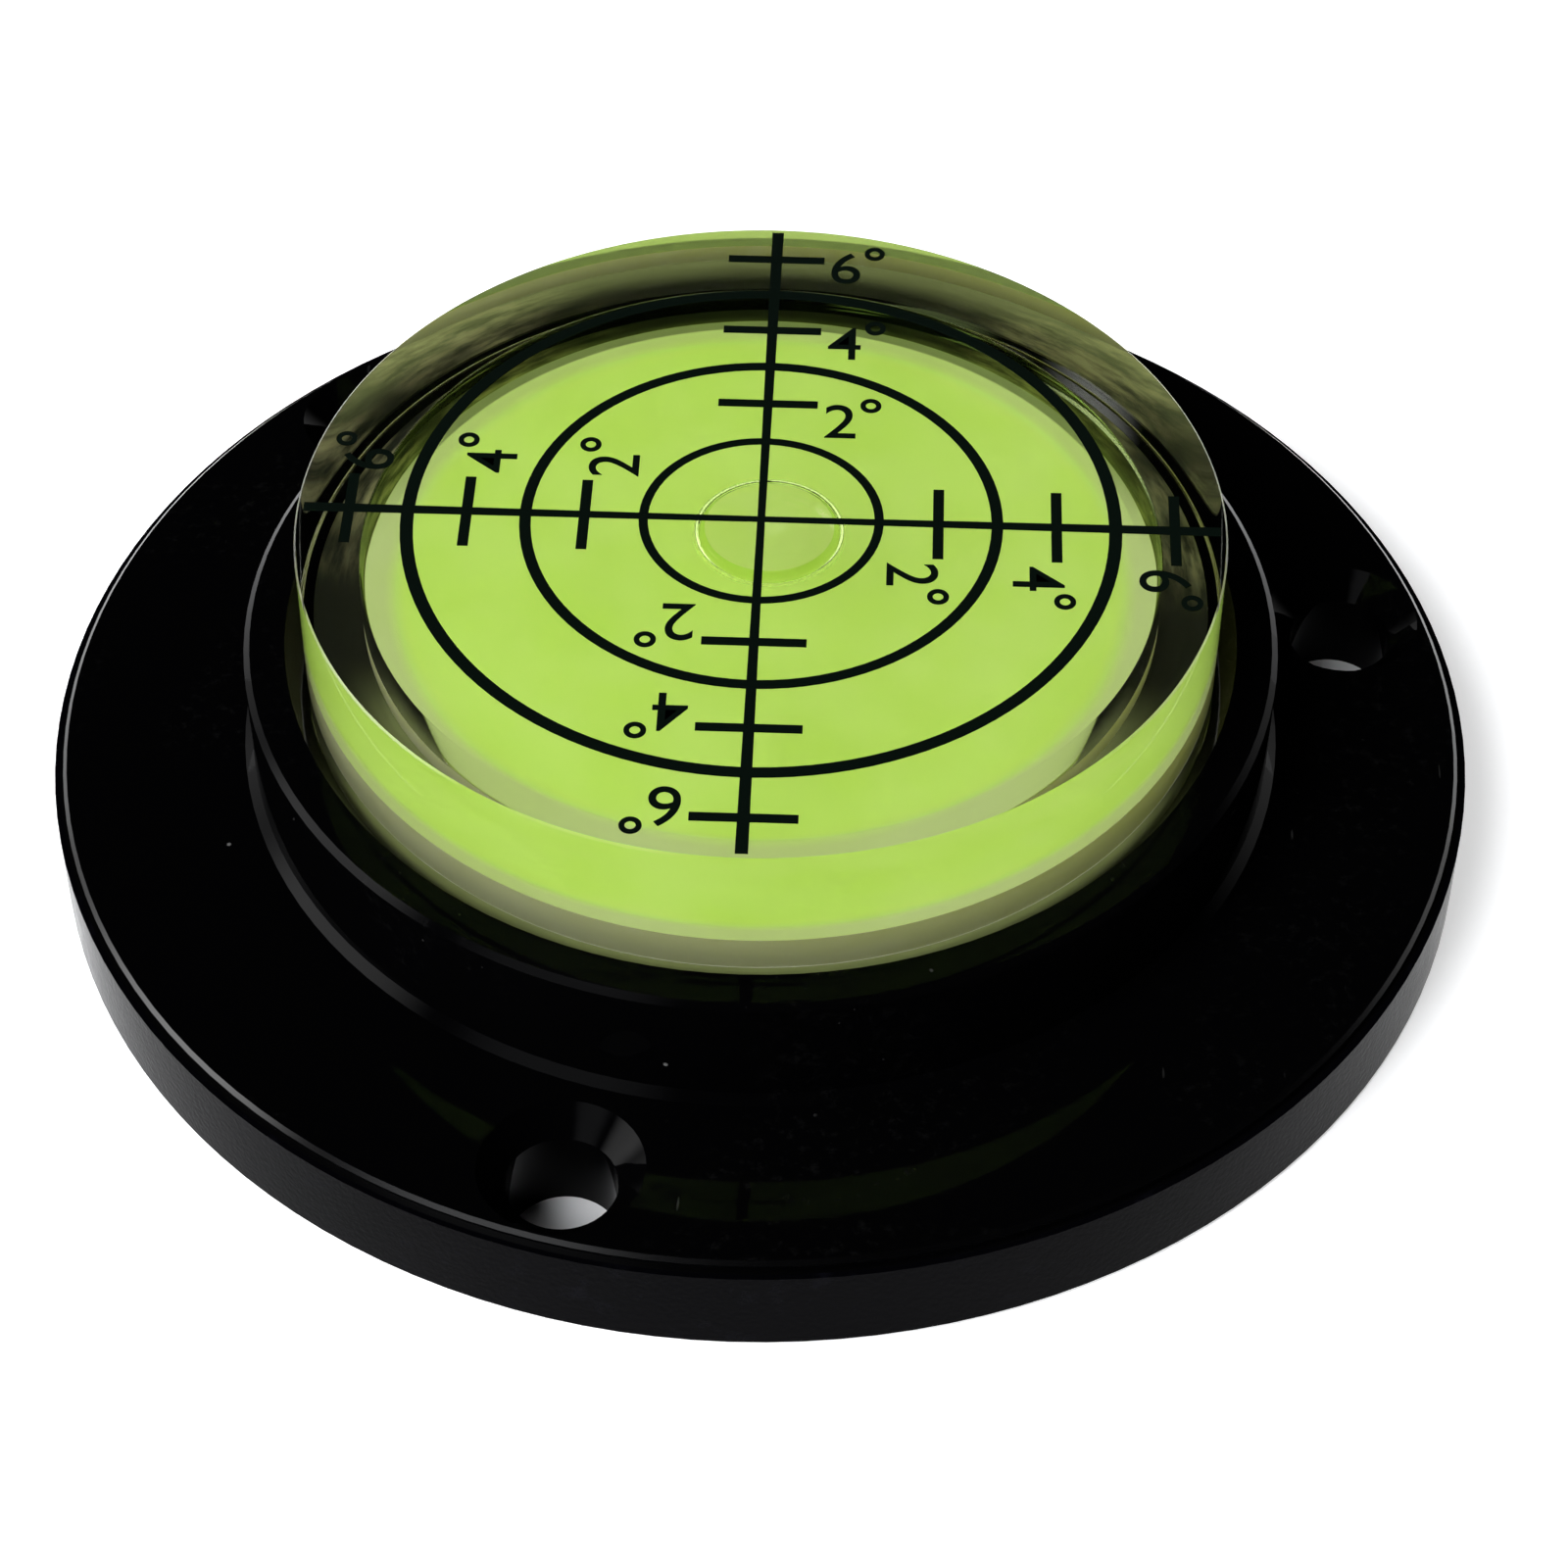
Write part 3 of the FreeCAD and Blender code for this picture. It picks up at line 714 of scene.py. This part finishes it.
def text_mesh(words, height, boldness):
    """Flat letters of a height, from the built-in face, with their strokes thickened."""
    curve = bpy.data.curves.new("number", "FONT")
    curve.body = words
    holder = bpy.data.objects.new("number", curve)
    bpy.context.scene.collection.objects.link(holder)
    bpy.context.view_layer.update()
    curve.size = (height - 2 * boldness) / holder.dimensions.y
    curve.offset = boldness
    curve.extrude = (PRINT_HIGH.z - PRINT_LOW.z) / 2
    curve.resolution_u = 8
    bpy.context.view_layer.update()
    depsgraph = bpy.context.evaluated_depsgraph_get()
    mesh = bpy.data.meshes.new_from_object(holder.evaluated_get(depsgraph))
    bpy.data.objects.remove(holder)
    bpy.data.curves.remove(curve)
    return mesh


def degree_mesh(outer, inner):
    """The small raised ring of a degree sign."""
    segments = 32
    half = (PRINT_HIGH.z - PRINT_LOW.z) / 2
    shape = bmesh.new()
    rings = []
    for radius, height in ((outer, -half), (outer, half), (inner, half), (inner, -half)):
        rings.append([shape.verts.new(point) for point in ring_points((0, 0), radius, height, segments)])
    for first, second in zip(rings, rings[1:] + rings[:1]):
        for step in range(segments):
            following = (step + 1) % segments
            shape.faces.new((first[step], first[following], second[following], second[step]))
    bmesh.ops.recalc_face_normals(shape, faces=shape.faces)
    mesh = bpy.data.meshes.new("degree")
    shape.to_mesh(mesh)
    shape.free()
    return mesh


def build_numbers(settings):
    """The numbers and their degree signs, beside every bar of every arm."""
    middle = (PRINT_HIGH.z + PRINT_LOW.z) / 2
    joined = bmesh.new()
    sign = degree_mesh(settings.degree_radius, settings.degree_radius - settings.degree_stroke)
    for number, degrees in enumerate(BARS):
        digit = text_mesh(str(degrees), settings.number_height, settings.boldness)
        low_x = min(vertex.co.x for vertex in digit.vertices)
        high_x = max(vertex.co.x for vertex in digit.vertices)
        low_y = min(vertex.co.y for vertex in digit.vertices)
        left = BAR_HALF + settings.number_gap
        baseline = settings.first_number + number * settings.number_pitch
        digit_place = Vector((left - low_x, baseline - low_y, middle))
        sign_place = Vector((left + high_x - low_x + settings.degree_gap + settings.degree_radius,
                             baseline + settings.number_height, middle))
        for arm in range(ARMS):
            turn = Matrix.Rotation(arm * 2 * math.pi / ARMS, 4, "Z")
            for mesh, place in ((digit, digit_place), (sign, sign_place)):
                moved = mesh.copy()
                moved.transform(turn @ Matrix.Translation(place))
                joined.from_mesh(moved)
                bpy.data.meshes.remove(moved)
        bpy.data.meshes.remove(digit)
    same = 0.001 * MM
    bmesh.ops.remove_doubles(joined, verts=joined.verts, dist=same)
    bmesh.ops.recalc_face_normals(joined, faces=joined.faces)
    mesh = bpy.data.meshes.new("dial_numbers")
    joined.to_mesh(mesh)
    joined.free()
    return mesh


def add_camera(settings):
    """The camera that took the photograph's view, worked out from the dial."""
    elevation = settings.camera_elevation
    back = Vector((0, -math.cos(elevation), math.sin(elevation)))
    right = Vector((1, 0, 0))
    up = back.cross(right)
    roll = settings.camera_roll
    rows = [math.cos(roll) * right + math.sin(roll) * up,
            math.cos(roll) * up - math.sin(roll) * right, back]
    view = Matrix(rows) @ Matrix.Rotation(settings.camera_azimuth, 3, "Z")
    aim = Vector((*settings.camera_aim, -settings.camera_distance))
    data = bpy.data.cameras.new("camera")
    data.sensor_width = 36.0
    data.lens = settings.camera_lens
    data.clip_start = 0.01
    camera = bpy.data.objects.new("camera", data)
    bpy.context.scene.collection.objects.link(camera)
    turned = view.transposed()
    camera.matrix_world = Matrix.Translation(Vector((0, 0, VIAL_TOP)) - turned @ aim) @ turned.to_4x4()
    bpy.context.scene.camera = camera


def add_table(settings):
    """A wide pale table. The camera sees it white but for the level's soft shadow."""
    reach = settings.table_reach
    mesh = bpy.data.meshes.new("table")
    corners = [(-reach, -reach, 0), (reach, -reach, 0), (reach, reach, 0), (-reach, reach, 0)]
    mesh.from_pydata(corners, [], [(0, 1, 2, 3)])
    table = bpy.data.objects.new("table", mesh)
    bpy.context.scene.collection.objects.link(table)
    surface = Surface("table")
    x, y, z = surface.split(surface.place())
    open_table = surface.ramp(radius_of(x, y), FLANGE_RADIUS - 1.5 * MM, FLANGE_RADIUS)
    seen = surface.ray_kind("Is Camera Ray").at_least(
        surface.ray_kind("Is Glossy Ray")).at_least(surface.ray_kind("Is Transmission Ray"))
    glow = [settings.table_glow] * 3
    surface.close(surface.shader(
        Base_Color=settings.table_color, Roughness=0.9, Specular_IOR_Level=0.0,
        Emission_Color=surface.mix(seen * open_table, (0, 0, 0), glow), Emission_Strength=1.0))
    mesh.materials.append(surface.owner)


def softbox(finish, direction, azimuth, elevation, core, reach):
    """A round soft light in the studio: 1 as far as its core, and 0 beyond its reach, in degrees."""
    turn, rise = math.radians(azimuth), math.radians(elevation)
    toward = (math.cos(rise) * math.cos(turn), math.cos(rise) * math.sin(turn), math.sin(rise))
    nearness = finish.node("ShaderNodeVectorMath", {"operation": "DOT_PRODUCT"},
                           {0: direction, 1: toward}, "Value")
    return finish.ramp(nearness, math.cos(math.radians(reach)), math.cos(math.radians(core)))


def add_world(settings):
    """Studio walls: dark half-way up, where gloss mirrors them, with soft lights, and pale low down.

    Seen directly they are white, and gloss and glass see that white low down.
    """
    world = bpy.data.worlds.new("studio")
    bpy.context.scene.world = world
    finish = Finish(world)
    background = finish.tree.nodes["Background"]
    direction = finish.node("ShaderNodeTexCoord", output="Generated")
    x, y, z = finish.split(direction)
    low = 1 - finish.ramp(z, 0.05, 0.30)
    light = finish.mix(low, settings.wall_light, settings.low_light)
    overhead = softbox(finish, direction, azimuth=90, elevation=73, core=6, reach=14)
    light = finish.mix(overhead, light, settings.top_light)
    glossy = finish.ray_kind("Is Glossy Ray")
    key = softbox(finish, direction, azimuth=228, elevation=43, core=8, reach=22)
    light = finish.mix(key * (1 - settings.key_hidden * glossy), light, settings.key_light)
    low_left = softbox(finish, direction, azimuth=178, elevation=20, core=8, reach=26)
    light = finish.mix(low_left, light, settings.side_light)
    white = finish.ray_kind("Is Camera Ray").at_least(
        low * glossy.at_least(finish.ray_kind("Is Transmission Ray")))
    finish.feed(background.inputs["Color"], finish.mix(white, light, (1.0, 1.0, 1.0)))


class LEVEL_OT_base(Operator):
    """Gives the mounting base its black plastic."""

    bl_idname = "level.base"
    bl_label = "Mounting base"

    def execute(self, context):
        show(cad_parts["mounting_base"], base_plastic(context.scene.level_base))
        return {"FINISHED"}


class LEVEL_OT_inside(Operator):
    """Gives the vial's floor disc, its plug and the bond their finishes."""

    bl_idname = "level.inside"
    bl_label = "Floor, plug and bond"

    def execute(self, context):
        settings = context.scene.level_inside
        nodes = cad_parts
        show(nodes["vial_floor"], dyed_surface("white_floor", settings, settings.floor_color))
        show(nodes["filler_plug"], dyed_surface("plug_rubber", settings, settings.plug_color))
        show(nodes["adhesive_pad"], bond_surface(settings))
        return {"FINISHED"}


class LEVEL_OT_vial(Operator):
    """Turns the clear vial and fills it with its liquid and bubble."""

    bl_idname = "level.vial"
    bl_label = "Vial and liquid"

    def execute(self, context):
        settings = context.scene.level_vial
        vial = add_piece("acrylic_vial", build_vial(settings))
        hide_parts("vial_body")
        color = settings.acrylic_color
        wetted_ior = settings.acrylic_ior / settings.liquid_ior
        show(vial, clear_surface("clear_acrylic", color, settings.acrylic_ior, settings.haze),
             clear_surface("wetted_acrylic", color, wetted_ior),
             clear_surface("welded_acrylic", color, 1.0))
        liquid = add_piece("dyed_liquid", build_liquid(settings))
        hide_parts("level_liquid")
        show(liquid, liquid_surface("green_liquid", settings.liquid_color, 1.0),
             liquid_surface("bubble_skin", settings.thin_color, settings.liquid_ior))
        return {"FINISHED"}


class LEVEL_OT_dial(Operator):
    """Inks the printed dial and adds its numbers."""

    bl_idname = "level.dial"
    bl_label = "Dial"

    def execute(self, context):
        settings = context.scene.level_dial
        ink = ink_surface(settings)
        show(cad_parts["dial_print"], ink)
        numbers = add_piece("dial_numbers", build_numbers(settings))
        show(numbers, ink)
        return {"FINISHED"}


class LEVEL_OT_stage(Operator):
    """Sets the camera, the table and the studio light."""

    bl_idname = "level.stage"
    bl_label = "Stage"

    def execute(self, context):
        settings = context.scene.level_stage
        context.scene.view_settings.view_transform = "Standard"
        add_camera(settings)
        add_table(settings)
        add_world(settings)
        return {"FINISHED"}


class LEVEL_PT_sidebar(Panel):
    bl_label = "Bullseye Level"
    bl_idname = "LEVEL_PT_sidebar"
    bl_space_type = "VIEW_3D"
    bl_region_type = "UI"
    bl_category = "Level"

    def draw(self, context):
        for operator in OPERATORS:
            self.layout.operator(operator.bl_idname)


SETTINGS = {
    "level_base": BaseSettings,
    "level_inside": InsideSettings,
    "level_vial": VialSettings,
    "level_dial": DialSettings,
    "level_stage": StageSettings,
}
OPERATORS = (LEVEL_OT_stage, LEVEL_OT_base, LEVEL_OT_inside, LEVEL_OT_vial, LEVEL_OT_dial)
CLASSES = (*SETTINGS.values(), *OPERATORS, LEVEL_PT_sidebar)


def register():
    for item in CLASSES:
        bpy.utils.register_class(item)
    for name, group in SETTINGS.items():
        setattr(bpy.types.Scene, name, PointerProperty(type=group))


def unregister():
    for name in SETTINGS:
        delattr(bpy.types.Scene, name)
    for item in reversed(CLASSES):
        bpy.utils.unregister_class(item)


def main():
    register()
    bpy.ops.level.stage()
    bpy.ops.level.base()
    bpy.ops.level.inside()
    bpy.ops.level.vial()
    bpy.ops.level.dial()


if __name__ == "__main__":
    main()
